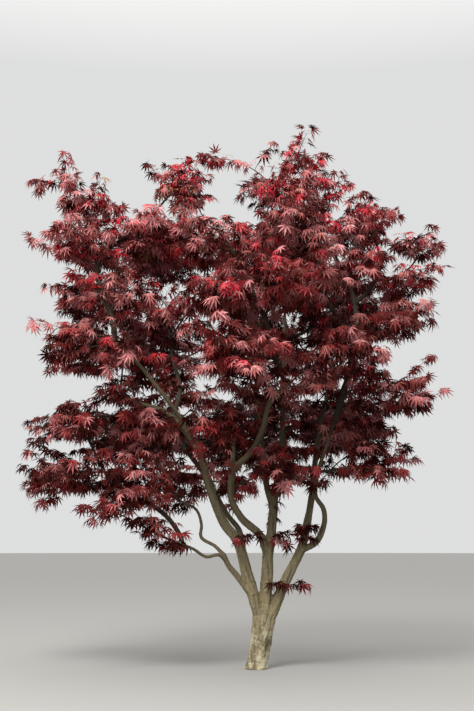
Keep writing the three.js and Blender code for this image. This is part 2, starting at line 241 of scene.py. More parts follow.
def add_mesh(name, points, triangles, materials, tones=None, smooth=False):
    """A mesh object at the origin from arrays of points and triangles, with one tone for each
    triangle."""
    mesh = bpy.data.meshes.new(name)
    mesh.vertices.add(len(points))
    mesh.vertices.foreach_set("co", np.asarray(points, np.float32).ravel())
    mesh.loops.add(triangles.size)
    mesh.loops.foreach_set("vertex_index", np.asarray(triangles, np.int32).ravel())
    mesh.polygons.add(len(triangles))
    mesh.polygons.foreach_set("loop_start", np.arange(0, triangles.size, 3, dtype=np.int32))
    mesh.polygons.foreach_set("use_smooth", np.full(len(triangles), smooth))
    for material in materials:
        mesh.materials.append(material)
    if tones is not None:
        mesh.polygons.foreach_set("material_index", np.asarray(tones, np.int32))
    mesh.update(calc_edges=True)
    obj = bpy.data.objects.new(name, mesh)
    bpy.context.scene.collection.objects.link(obj)
    return obj


def read_rows(items, name):
    """One property of a mesh's points or normals as an array: a row each, three numbers a row."""
    numbers = np.zeros(len(items) * 3, np.float32)
    items.foreach_get(name, numbers)
    return numbers.reshape(-1, 3).astype(float)


def cubic(u):
    """The four weights of a cubic at share u: of its start, start slope, end and end slope."""
    return 2 * u**3 - 3 * u**2 + 1, u**3 - 2 * u**2 + u, 3 * u**2 - 2 * u**3, u**3 - u**2


def smooth_line(points, steps):
    """A centripetal Catmull-Rom curve: between two points a cubic whose end slopes come from the
    neighbours, weighted by the square roots of the distances. Returns the points on the curve and
    the share of the curve at each."""
    p = np.array(points, float)
    p = np.vstack([2 * p[0] - p[1], p, 2 * p[-1] - p[-2]])
    gap = np.maximum(np.linalg.norm(np.diff(p, axis=0), axis=1) ** 0.5, 1e-6)[:, None]
    chord = np.diff(p, axis=0)
    slope = chord[:-1] / gap[:-1] - (p[2:] - p[:-2]) / (gap[:-1] + gap[1:]) + chord[1:] / gap[1:]
    share = np.linspace(0, len(points) - 1, steps + 1)
    k = np.minimum(share.astype(int), len(points) - 2)
    start, rise, end, fall = cubic((share - k)[:, None])
    a, b, span = p[1:-1][k], p[1:-1][k + 1], gap[1:-1][k]
    line = start * a + rise * span * slope[k] + end * b + fall * span * slope[k + 1]
    return line, share / (len(points) - 1)


def tube_faces(rings, sides):
    """The triangles of a closed tube whose corners are numbered ring by ring, with the two poles
    last."""
    i, j = np.meshgrid(np.arange(rings - 1), np.arange(sides), indexing="ij")
    a, b = i * sides + j, i * sides + (j + 1) % sides
    c, d = b + sides, a + sides
    walls = np.stack([a, b, c, a, c, d], axis=-1).reshape(-1, 3)
    j = np.arange(sides)
    nxt, top = (j + 1) % sides, (rings - 1) * sides
    foot = np.stack([np.full(sides, rings * sides), nxt, j], axis=-1)
    head = np.stack([np.full(sides, rings * sides + 1), top + j, top + nxt], axis=-1)
    return np.vstack([walls, foot, head])


def copied_faces(faces, count, corners):
    """The triangles of many copies of one shape, each copy with its own corners."""
    return (faces[None] + (np.arange(count) * corners)[:, None, None]).reshape(-1, 3)


def way_along(line):
    """The distance from the start of a line to each of its points."""
    return np.concatenate([[0], np.cumsum(np.linalg.norm(np.diff(line, axis=0), axis=1))])


# ---- Trunk and limbs ----

def ring_tube(centres, radii, angles):
    """A closed tube: rings of the given radii (one row a ring, one column an angle) carried along
    the centres, each ring turned as little as possible from the one before, with a pole at each
    end."""
    rings, sides = radii.shape
    along = unit(np.gradient(centres, axis=0))
    across = np.zeros_like(along)
    last = np.array([1.0, 0.0, 0.0])
    for i in range(rings):
        last = last - along[i] * (last @ along[i])
        last = last / np.linalg.norm(last)
        across[i] = last
    sideways = np.cross(along, across)
    points = centres[:, None] + radii[..., None] * (
        across[:, None] * np.cos(angles)[None, :, None]
        + sideways[:, None] * np.sin(angles)[None, :, None]
    )
    points = np.vstack([points.reshape(-1, 3), centres[:1], centres[-1:]])
    return points, tube_faces(rings, sides)


def limb_lines():
    """The centreline of every limb as dense points, with the radius and the way from the ground at
    each."""
    made = {}
    for name, (radii, bends) in LIMBS.items():
        line, share = smooth_line(bends, 12 * (len(bends) - 1))
        radius = radii[0] + (radii[1] - radii[0]) * share
        radius *= 1 - LIMB_END * np.clip((share - 0.84) / 0.16, 0, 1) ** 2
        way = way_along(line)
        start = line[0, 2]
        for other in made.values():
            gap = np.linalg.norm(other["line"] - line[0], axis=1)
            if name not in MAIN_LIMBS and gap.min() < 0.06:
                start = other["way"][gap.argmin()]
        made[name] = {"line": line, "radius": radius, "way": way + start}
    return made


def waves(around, along, count, turns, pitch, seed):
    """The sum of sin(turns x around + pitch x along + phase) over seeded waves, with whole turns,
    brought to about one."""
    r = np.random.default_rng(seed)
    turns = r.integers(turns[0], turns[1] + 1, count)
    pitch = r.uniform(*pitch, count) * r.choice([-1, 1], count)
    total = 0
    for m, k, f in zip(turns, pitch, r.uniform(0, 2 * math.pi, count)):
        total = total + np.sin(m * around + k * along + f)
    return total / math.sqrt(count / 2)


def woody_mesh(lines):
    """The trunk and every limb as closed tubes in one mesh. A limb swells into a collar where it
    springs from another, and its radius wavers a little along and round it."""
    angles = np.linspace(0, 2 * math.pi, 28, endpoint=False)
    points, faces, offset = [], [], 0
    centres, share = smooth_line(TRUNK_LINE, TRUNK_STEPS)
    centres[0] = (0, 0, 0)
    height = centres[:, 2:3]
    buttress = 1 + BUTTRESS_SHARE * np.cos(BUTTRESSES * angles)[None]
    radii = TRUNK_RADIUS + FLARE * np.exp(-height / FLARE_HEIGHT) * buttress
    radii *= 1 - TRUNK_END * np.clip((share[:, None] - 0.8) / 0.2, 0, 1) ** 2
    tubes = [(centres, radii)]
    for run in LIMB_RUNS:
        centres, share = smooth_line(run, 24)
        tubes.append((centres, (RUN_RADIUS + RUN_GAIN * share)[:, None] + 0 * angles[None]))
    for number, (name, limb) in enumerate(lines.items()):
        way = limb["way"] - limb["way"][0]
        lumps = waves(angles[None], way[:, None], 7, (1, 3), (12, 40), 50 + number)
        collar = 0.0 if name in MAIN_LIMBS else COLLAR
        radii = limb["radius"][:, None] * (
            1 + 0.035 * lumps + collar * np.exp(-way / (2.2 * limb["radius"][0]))[:, None])
        tubes.append((limb["line"], radii))
    for centres, radii in tubes:
        p, f = ring_tube(centres, radii, angles)
        points.append(p)
        faces.append(f + offset)
        offset += len(p)
    return np.vstack(points), np.vstack(faces)


def fuse(obj):
    """Voxel remesh, then a little smoothing, applied to the mesh."""
    remesh = obj.modifiers.new("fuse", "REMESH")
    remesh.mode = "VOXEL"
    remesh.voxel_size = REMESH
    soften = obj.modifiers.new("soften", "SMOOTH")
    soften.factor = 0.5
    soften.iterations = 4
    graph = bpy.context.evaluated_depsgraph_get()
    done = bpy.data.meshes.new_from_object(obj.evaluated_get(graph))
    obj.modifiers.clear()
    old, obj.data = obj.data, done
    done.name = obj.name
    bpy.data.meshes.remove(old)


def bark_relief(obj, lines):
    """Moves every vertex along its normal by the bark's relief: long shallow ridges that follow the
    limb, finer cracks between them, and short raised scars across it. The ridges are sums of waves
    in the angle round the nearest limb and the distance along it. Keeps how deep each vertex lies
    as the attribute `hollow`, and how slim the limb is there as `slim`."""
    mesh = obj.data
    count = len(mesh.vertices)
    co, normal = read_rows(mesh.vertices, "co"), read_rows(mesh.vertex_normals, "vector")
    trunk = smooth_line(TRUNK_LINE, TRUNK_STEPS)[0]
    axes = [(trunk, way_along(trunk), np.full(len(trunk), TRUNK_RADIUS))]
    axes += [(limb["line"], limb["way"], limb["radius"]) for limb in lines.values()]
    nearest = np.full(count, np.inf)
    along, around, girth = np.zeros(count), np.zeros(count), np.zeros(count)
    for line, ways, radius in axes:
        direction = unit(np.gradient(line, axis=0))
        gap = np.full(count, np.inf)
        pick = np.zeros(count, int)
        for start in range(0, count, 20000):
            part = slice(start, start + 20000)
            d = np.linalg.norm(co[part, None] - line[None], axis=2)
            pick[part] = d.argmin(axis=1)
            gap[part] = d.min(axis=1)
        gap = gap - radius[pick]
        closer = gap < nearest
        away = co - line[pick]
        away -= direction[pick] * (away * direction[pick]).sum(axis=1, keepdims=True)
        across = unit(np.cross(direction[pick], (0, 1, 0)))
        sideways = np.cross(direction[pick], across)
        turn = np.arctan2((away * sideways).sum(axis=1), (away * across).sum(axis=1))
        slide = ((co - line[pick]) * direction[pick]).sum(axis=1)
        along = np.where(closer, ways[pick] + slide, along)
        around = np.where(closer, turn, around)
        girth = np.where(closer, radius[pick], girth)
        nearest = np.where(closer, gap, nearest)
    size = np.clip(girth / TRUNK_RADIUS, 0.12, 1)
    ridges = waves(around, along, 22, (2, 9), (8, 34), 3)
    cracks = waves(around, along, 26, (7, 17), (20, 90), 4)
    wrinkles = waves(around, along, 18, (0, 2), (150, 420), 5)
    scars = np.clip(waves(around, along, 12, (1, 3), (60, 190), 6) - 1.25, 0, 1)
    low = np.exp(-co[:, 2] / 0.25)
    depth = (RIDGE * ridges * size + CRACK * cracks * (0.3 + size) * (0.6 + low)
             + WRINKLE * wrinkles * (0.3 + size) + SCAR * scars * size)
    depth -= FURROW * np.clip(-ridges - 0.8, 0, 1) * size
    foot = np.clip(co[:, 2] / 0.012, 0, 1)
    moved = co + normal * (depth * (0.3 + 0.7 * foot))[:, None]
    moved[:, 2] = np.maximum(moved[:, 2], 0)
    mesh.vertices.foreach_set("co", moved.astype(np.float32).ravel())
    hollow = mesh.attributes.new("hollow", "FLOAT", "POINT")
    deep = np.clip(0.5 - 0.33 * ridges - 0.3 * cracks + 0.5 * scars, 0, 1)
    hollow.data.foreach_set("value", deep.astype(np.float32))
    slim = mesh.attributes.new("slim", "FLOAT", "POINT")
    slim.data.foreach_set("value", np.clip((0.021 - girth) / 0.009, 0, 1).astype(np.float32))
    mesh.polygons.foreach_set("use_smooth", np.full(len(mesh.polygons), True))
    mesh.update()


# ---- Masses of leaves, and where their sprays stand ----

def corners_of(node):
    """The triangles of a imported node: one row a triangle, three corners each."""
    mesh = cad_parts[node].data
    mesh.calc_loop_triangles()
    index = np.zeros(len(mesh.loop_triangles) * 3, np.int32)
    mesh.loop_triangles.foreach_get("vertices", index)
    return read_rows(mesh.vertices, "co")[index].reshape(-1, 3, 3)


def box_of(corners):
    points = corners.reshape(-1, 3)
    return points.min(axis=0), points.max(axis=0)


def is_inside(points, corners):
    """Whether each point lies in a closed solid: the solid angles of all its triangles, seen from
    the point, add up to a full sphere."""
    a, b, c = (corners[None, :, k] - points[:, None] for k in range(3))
    la, lb, lc = (np.linalg.norm(v, axis=2) for v in (a, b, c))
    volume = (a * np.cross(b, c)).sum(axis=2)
    rest = la * lb * lc + (a * b).sum(2) * lc + (b * c).sum(2) * la + (c * a).sum(2) * lb
    return np.arctan2(volume, rest).sum(axis=1) > math.pi


def depth_in(points, corners):
    """The distance of each point from a solid's skin."""
    tree = BVHTree.FromPolygons(
        corners.reshape(-1, 3).tolist(), np.arange(len(corners) * 3).reshape(-1, 3).tolist())
    return np.array([tree.find_nearest(Vector(p))[3] for p in points])


def layered_sprays(corners):
    """Places for sprays in one mass: a slanting grid on each layer, shaken a little, each layer
    sinking with the square of the distance from the mass's middle. Places near the skin are all
    kept, and deeper ones thinned, as leaves keep to the light."""
    low, high = box_of(corners)
    middle, half = (low + high) / 2, (high - low) / 2
    skin = min(SKIN, 0.35 * half[2])
    room = high[2] - low[2] - 2 * skin
    levels = max(1, round(room / LAYER_HEIGHT))
    heights = low[2] + skin + (np.arange(levels) + 0.62) / levels * room
    spacing = SPRAY_SPACING
    found = []
    for height in heights:
        nx, ny = (int(2 * half[k] / spacing) + 3 for k in (0, 1))
        i, j = np.meshgrid(np.arange(nx), np.arange(ny), indexing="ij")
        i = i + 0.5 * (j % 2) + chance.uniform(0, 1)
        flat = np.stack([low[0] + (i - 1) * spacing, low[1] + (j - 1) * spacing * 0.87], axis=-1)
        flat = flat.reshape(-1, 2) + chance.normal(0, 0.27 * spacing, (nx * ny, 2))
        out = (((flat - middle[:2]) / half[:2]) ** 2).sum(axis=1)
        z = height - LAYER_DROOP * half[2] * (out - 0.35) + chance.normal(0, 0.014, len(flat))
        found.append(np.column_stack([flat, z]))
    places = np.vstack(found)
    places = places[is_inside(places, corners)]
    away = unit((places - (-0.1, 0.0, 0.0)) * (1, 1, 0))
    held = is_inside(places + away * min(REACH, 0.4 * half[:2].min()), corners)
    places = places[held] if held.any() else places
    if len(places) == 0:
        places = middle[None]
    depth = depth_in(places, corners)
    fade = np.exp(-np.clip(depth - THINNING, 0, None) / THINNING)
    keep = (depth > skin) & (chance.uniform(0, 1, len(places))
                             < KEPT_DEEP + (1 - KEPT_DEEP) * fade)
    if not keep.any():
        keep = depth >= depth.max()
    return places[keep], depth[keep]


def outer_shoots(places, home, solids):
    """Shoots that stand out beyond the masses: from some of the outermost places a step is taken
    outwards and up, where it meets no mass and stays within the tree's size."""
    low, high = (np.array(v) for v in cad_box)
    middle = np.array([(low[0] + high[0]) / 2, (low[1] + high[1]) / 2, 1.75])
    away = unit((places - middle) / np.array([1.3, 1.05, 1.15]))
    away[:, 2] = away[:, 2] * 0.9 + 0.25
    away = unit(away + chance.normal(0, 0.3, away.shape))
    tips = places + away * chance.uniform(*SHOOT_STEP, len(places))[:, None]
    room = ((tips > low + SHOOT_ROOM[0]) & (tips < high - SHOOT_ROOM[1])).all(axis=1)
    free = room & (chance.uniform(0, 1, len(places)) < SHOOT_SHARE)
    for corners in solids:
        box_low, box_high = box_of(corners)
        near = free & (tips > box_low).all(axis=1) & (tips < box_high).all(axis=1)
        if near.any():
            free[np.flatnonzero(near)[is_inside(tips[near], corners)]] = False
    return tips[free], home[free]


# ---- Wiring: boughs and twigs ----

def grow_wiring(feet, feet_way, feet_heading, places):
    """The branching rule. Every place starts unjoined, and the cheapest one joins next. To join
    costs the distance, with climbing counted more than spreading, times more the more the twig has
    to turn, plus a share of the way from there to the ground. Returns all points, each point's
    parent, and the order of joining."""
    points = np.vstack([feet, places])
    count, first = len(places), len(feet)
    scale = np.array([1, 1, CLIMBING])
    parent = np.full(len(points), -1)
    way = np.concatenate([feet_way, np.zeros(count)])
    heading = np.vstack([feet_heading, np.zeros((count, 3))])
    price = np.full(count, np.inf)
    joint = np.zeros(count, int)

    def offer(i, waiting):
        step = places - points[i]
        length = np.maximum(np.linalg.norm(step, axis=1), 1e-6)
        turn = 1 - (step @ heading[i]) / length
        asked = np.linalg.norm(step * scale, axis=1) * (1 + TURNING * turn) + LONG_WAY * way[i]
        better = waiting & (asked < price)
        price[better] = asked[better]
        joint[better] = i

    waiting = np.ones(count, bool)
    for i in range(first):
        offer(i, waiting)
    order = []
    for _ in range(count):
        k = int(np.where(waiting, price, np.inf).argmin())
        waiting[k] = False
        i = first + k
        parent[i] = joint[k]
        step = points[i] - points[parent[i]]
        way[i] = way[parent[i]] + np.linalg.norm(step)
        heading[i] = step / max(np.linalg.norm(step), 1e-6)
        order.append(i)
        offer(i, waiting)
    return points, parent, np.array(order)


def loads(parent, order):
    """How many twigs each point carries, itself included, and which child carries most of them."""
    load = np.ones(len(parent))
    main = np.full(len(parent), -1)
    best = np.zeros(len(parent))
    for i in order[::-1]:
        up = parent[i]
        load[up] += load[i]
        if load[i] > best[up]:
            best[up], main[up] = load[i], i
    return load, main


def straighten(points, parent, main, load, rounds=14):
    """Boughs straighten as they thicken: each point moves towards the middle between its parent and
    its main child, further the more it carries."""
    points = points.copy()
    moving = np.flatnonzero((parent >= 0) & (main >= 0))
    pull = np.clip(np.log2(load[moving]) / 7, 0, 0.9)[:, None]
    for _ in range(rounds):
        middle = (points[parent[moving]] + points[main[moving]]) / 2
        points[moving] += 0.5 * pull * (middle - points[moving])
    return points


def twig_curves(points, parent, main, feet_heading):
    """The ends and end slopes of the curve from each point's parent to the point. A main child goes
    on smoothly, and a side twig leaves at a slant."""
    edge = np.flatnonzero(parent >= 0)
    step = np.zeros_like(points)
    step[edge] = points[edge] - points[parent[edge]]
    heading = unit(step)
    heading[: len(feet_heading)] = feet_heading
    has_main = main >= 0
    onward = heading.copy()
    onward[has_main] = unit(heading[has_main] + heading[main[has_main]])
    length = np.linalg.norm(step[edge], axis=1, keepdims=True)
    is_main = main[parent[edge]] == edge
    at_start = np.where(is_main[:, None] & (parent[parent[edge]] >= 0)[:, None],
                        onward[parent[edge]], unit(heading[edge] + 0.45 * heading[parent[edge]]))
    return edge, points[parent[edge]], points[edge], at_start * length, onward[edge] * length


def on_curve(curve, pick, u):
    """The point and direction at share u of the picked curves: cubics through two ends with two
    end slopes."""
    _, p, q, m, n = curve
    u = u[:, None]
    start, rise, end, fall = cubic(u)
    place = start * p[pick] + rise * m[pick] + end * q[pick] + fall * n[pick]
    slope = ((6 * u**2 - 6 * u) * (p[pick] - q[pick]) + (3 * u**2 - 4 * u + 1) * m[pick]
             + (3 * u**2 - 2 * u) * n[pick])
    return place, unit(slope)


def twig_tubes(curve, pick, start_radius, end_radius, sides, rings):
    """Closed tapering tubes along the picked curves, all at once: rings of corners round the curve,
    with a pole at each end."""
    count = len(pick)
    share = np.linspace(0, 1, rings)
    place, along = on_curve(curve, np.repeat(pick, rings), np.tile(share, count))
    place, along = place.reshape(count, rings, 3), along.reshape(count, rings, 3)
    chord = unit(curve[2][pick] - curve[1][pick])
    aside = np.where(np.abs(chord[:, 2:]) < 0.8, (0.0, 0.0, 1.0), (1.0, 0.0, 0.0))[:, None]
    across = unit(np.cross(along, aside))
    sideways = np.cross(along, across)
    angles = np.arange(sides) * 2 * math.pi / sides
    radius = start_radius[:, None] + (end_radius - start_radius)[:, None] * share
    round_about = (across[:, :, None] * np.cos(angles)[:, None]
                   + sideways[:, :, None] * np.sin(angles)[:, None])
    ring = place[:, :, None] + radius[:, :, None, None] * round_about
    ends = np.stack([place[:, 0] - along[:, 0] * start_radius[:, None],
                     place[:, -1] + along[:, -1] * end_radius[:, None]], axis=1)
    points = np.concatenate([ring.reshape(count, -1, 3), ends], axis=1)
    return points.reshape(-1, 3), copied_faces(tube_faces(rings, sides), count, points.shape[1])


# ---- Leaves ----

# The seven lobes: where they point, and their lengths and widths as shares of the middle one.
LOBES = np.radians([-108, -68, -33, 0, 33, 68, 108])
LOBE_LENGTHS = np.array([0.42, 0.76, 0.94, 1.0, 0.94, 0.76, 0.42])
LOBE_WIDTHS = np.array([0.045, 0.066, 0.08, 0.085, 0.08, 0.066, 0.045])
NOTCH_REACH = 0.25


def leaf_blade(spread, curl, fold, tip_curl):
    """One leaf blade with its stalk end at the origin, its middle lobe along +Y and its upper side
    up. Each lobe is a lance shape: it leaves the palm at the notches, is widest half way out, and
    comes to a point. The palm is a fan round the origin. The three middle lobes are folded along
    their midribs, and the whole blade sinks with the square of the distance from the stalk."""
    turn = LOBES * spread
    out = np.stack([np.sin(turn), np.cos(turn)], axis=-1)
    side = np.stack([np.cos(turn), -np.sin(turn)], axis=-1)
    length, width = LOBE_LENGTHS[:, None], LOBE_WIDTHS[:, None]
    between = (turn[1:] + turn[:-1]) / 2
    notch_at = np.concatenate([[turn[0] - 0.5], between, [turn[-1] + 0.5]])
    reach = np.concatenate(
        [[0.1], NOTCH_REACH * (LOBE_LENGTHS[1:] + LOBE_LENGTHS[:-1]) / 2, [0.1]])
    notch = np.stack([np.sin(notch_at), np.cos(notch_at)], axis=-1) * reach[:, None]
    middle = 0.5 * length * out
    flat = np.vstack([[[0, 0]], notch, middle, middle + width * side, middle - width * side,
                      length * out])
    raised = fold * LOBE_WIDTHS
    lift = np.concatenate([[0], np.full(8, 0.02), np.zeros(7), raised, raised, np.zeros(7)])
    far = np.linalg.norm(flat, axis=1)
    lift = lift - curl * far**2 - tip_curl * np.clip(far - 0.5, 0, 1) ** 2
    points = np.column_stack([flat, lift])
    notches, mids, rights, lefts, tips = 1, 9, 16, 23, 30
    faces = []
    for k in range(7):
        n_left, n_right = notches + k, notches + k + 1
        m, r, l, t = mids + k, rights + k, lefts + k, tips + k
        if k in (0, 6):
            faces += [(0, n_right, t), (0, t, n_left)]
        elif k in (1, 5):
            faces += [(0, n_right, n_left), (n_left, n_right, r), (n_left, r, l), (l, r, t)]
        else:
            faces += [(0, n_right, m), (0, m, n_left), (n_right, r, m), (n_left, m, l),
                      (r, t, m), (l, m, t)]
    return points, np.array(faces)


def leaf_blades():
    """Four blades that differ in how they spread, sink and fold."""
    made = [leaf_blade(1.0, 0.16, 0.45, 0.25), leaf_blade(0.9, 0.3, 0.7, 0.5),
            leaf_blade(0.8, 0.22, 0.95, 0.3), leaf_blade(1.06, 0.08, 0.3, 0.15)]
    used = np.unique(made[0][1])
    renumber = np.full(len(made[0][0]), -1)
    renumber[used] = np.arange(len(used))
    return np.array([points[used] for points, _ in made]), renumber[made[0][1]]


def place_leaves(base, axis, normal, size, kind):
    """Blades carried to their places: across the blade, along it and up from it become the three
    directions of each leaf's own frame."""
    shapes, faces = leaf_blades()
    normal = unit(normal - axis * (normal * axis).sum(axis=1, keepdims=True))
    across = np.cross(axis, normal)
    turn = np.stack([across, axis, normal], axis=1)
    points = np.einsum("nvk,nkc->nvc", shapes[kind] * size[:, None, None], turn) + base[:, None]
    return points, faces


def leaf_stalks(start, end, radius):
    """Stalks as closed spindles: a pole at each end and three corners round the middle, which is
    lifted a little above the straight line."""
    along = unit(end - start)
    across = unit(np.cross(along, (0.3, 0.2, 1.0)))
    sideways = np.cross(along, across)
    middle = (start + end) / 2 + np.array([0, 0, 0.12]) * np.linalg.norm(
        end - start, axis=1, keepdims=True)
    angles = np.arange(3) * 2 * math.pi / 3
    ring = middle[:, None] + radius * (across[:, None] * np.cos(angles)[:, None]
                                       + sideways[:, None] * np.sin(angles)[:, None])
    points = np.concatenate([start[:, None], ring, end[:, None]], axis=1)
    faces = np.array([(0, 2, 1), (0, 3, 2), (0, 1, 3), (4, 1, 2), (4, 2, 3), (4, 3, 1)])
    return points, faces


def leaves_on(curve, edge_length, leafy, tip):
    """Where leaves stand: along every leafy twig at even distances a pair of leaves, one on each
    side, and at every tip a pair and one leaf straight on. Returns each leaf's twig, its place and
    the direction of its stalk."""
    pairs = np.maximum(1, np.round(edge_length[leafy] / PAIR_SPACING).astype(int))
    twig = np.repeat(leafy, pairs)
    number = np.concatenate([np.arange(k) for k in pairs])
    share = (number + 0.75) / np.repeat(pairs, pairs)
    share = np.clip(share + chance.normal(0, 0.05, len(share)), 0.02, 1)
    twig = np.concatenate([twig, tip])
    share = np.concatenate([share, np.ones(len(tip))])
    place, along = on_curve(curve, twig, share)
    aside = unit(np.cross(along, UP) + chance.normal(0, 0.28, along.shape))
    slant = chance.uniform(0.35, 0.9, (2, len(twig), 1))
    rise = UP * chance.uniform(-0.1, 0.45, (2, len(twig), 1))
    two = [unit(along * slant[0] + aside + rise[0]), unit(along * slant[1] - aside + rise[1])]
    ends, way = on_curve(curve, tip, np.ones(len(tip)))
    ahead = unit(way + chance.normal(0, 0.25, way.shape))
    return (np.concatenate([twig, twig, tip]), np.concatenate([place, place, ends]),
            np.concatenate([*two, ahead]))


# ---- Materials ----

def plain_material(name, colour, roughness, **more):
    """A material with nothing but plain numbers on its own shader."""
    material = new_material(name)
    shader = material.node_tree.nodes["Principled BSDF"]
    shader.inputs["Base Color"].default_value = (*colour, 1)
    shader.inputs["Roughness"].default_value = roughness
    for name, value in more.items():
        shader.inputs[name.replace("_", " ")].default_value = value
    return material


def new_material(name):
    material = bpy.data.materials.new(name)
    material.use_nodes = True
    return material


# Leaf tones: colour, roughness and how much the surface mirrors. Crimson and scarlet paint light
# shining through the leaves at the top, and the near-black tone paints shade on leaves low down
# and deep inside.
LEAF_TONES = {
    "leaf_black": (0.022, 0.003, 0.002, 0.55, 0.05),
    "leaf_maroon": (0.07, 0.007, 0.006, 0.5, 0.1),
    "leaf_wine": (0.17, 0.013, 0.014, 0.42, 0.26),
    "leaf_brown_red": (0.195, 0.044, 0.038, 0.4, 0.34),
    "leaf_rose": (0.345, 0.108, 0.108, 0.38, 0.5),
    "leaf_crimson": (0.31, 0.008, 0.018, 0.42, 0.26),
    "leaf_scarlet": (0.37, 0.012, 0.016, 0.42, 0.24),
    "leaf_olive": (0.2, 0.088, 0.028, 0.45, 0.3),
}
BRIGHT = list(LEAF_TONES).index("leaf_crimson")
MIRROR_TINT = (1.0, 0.80, 0.82, 1.0)
STALK_TONE = ((0.16, 0.030, 0.028), 0.45)

# How the tones are shared out low down, at the top, and deep inside, and the heights meant. The
# dark shares low down and deep inside are painted shade, and the crimson and extra rose at the top
# are painted light shining through the leaves and painted highlight.
LOW_SHARES = np.array([0.26, 0.26, 0.19, 0.12, 0.15, 0.015, 0.003, 0.002])
HIGH_SHARES = np.array([0.03, 0.03, 0.13, 0.10, 0.40, 0.29, 0.065, 0.005])
DEEP_SHARES = np.array([0.45, 0.35, 0.14, 0.05, 0.01, 0.0, 0.0, 0.0])
LOW_CROWN, CROWN_RISE = 0.95, 1.7


# Barks: base, dark, lichen and moss colour, the height the lichen reaches, how fine the pattern is,
# and how high its bumps are.
# The dark colour also paints shade high up, on slim limbs and in the hollows.
BARKS = {
    "maple_trunk_bark": ((0.212, 0.176, 0.1), (0.065, 0.051, 0.03), (0.45, 0.41, 0.3),
                         (0.4, 0.34, 0.12), 0.36, 1.0, 0.0035),
    "maple_bough_bark": ((0.056, 0.039, 0.024), (0.022, 0.015, 0.01), (0.3, 0.28, 0.2),
                         (0.25, 0.2, 0.08), 0.2, 1.6, 0.002),
}


def leaf_materials():
    made = [plain_material(name, colour, roughness, Specular_IOR_Level=mirror,
                           Specular_Tint=MIRROR_TINT)
            for name, (*colour, roughness, mirror) in LEAF_TONES.items()]
    return made + [plain_material("leaf_stalk", *STALK_TONE)]


def deal_tones(place, depth, seed):
    """The tone of each spray: shares that change with height, from wine and near black low down to
    crimson at the top, and darker the deeper the spray lies. The darkening low down and deep inside
    is painted shade, and the crimson and rose at the top are painted light shining through the
    leaves and painted highlight."""
    r = np.random.default_rng(seed)
    height = np.clip((place[:, 2] - LOW_CROWN) / CROWN_RISE, 0, 1)[:, None]
    inner = np.clip(depth / 0.16, 0, 1)[:, None]
    # painted light: dark tones low down, crimson and rose high up
    share = LOW_SHARES * (1 - height) + HIGH_SHARES * height
    share[:, BRIGHT:BRIGHT + 2] *= height
    # painted shade: the deeper the spray, the more it takes the dark deep shares
    shaded = (0.72 - 0.34 * height) * inner
    share = share * (1 - shaded) + DEEP_SHARES * shaded
    total = share.cumsum(axis=1)
    tone = (r.uniform(0, 1, (len(place), 1)) * total[:, -1:] > total).sum(axis=1)
    return np.minimum(tone, len(LEAF_TONES) - 1)


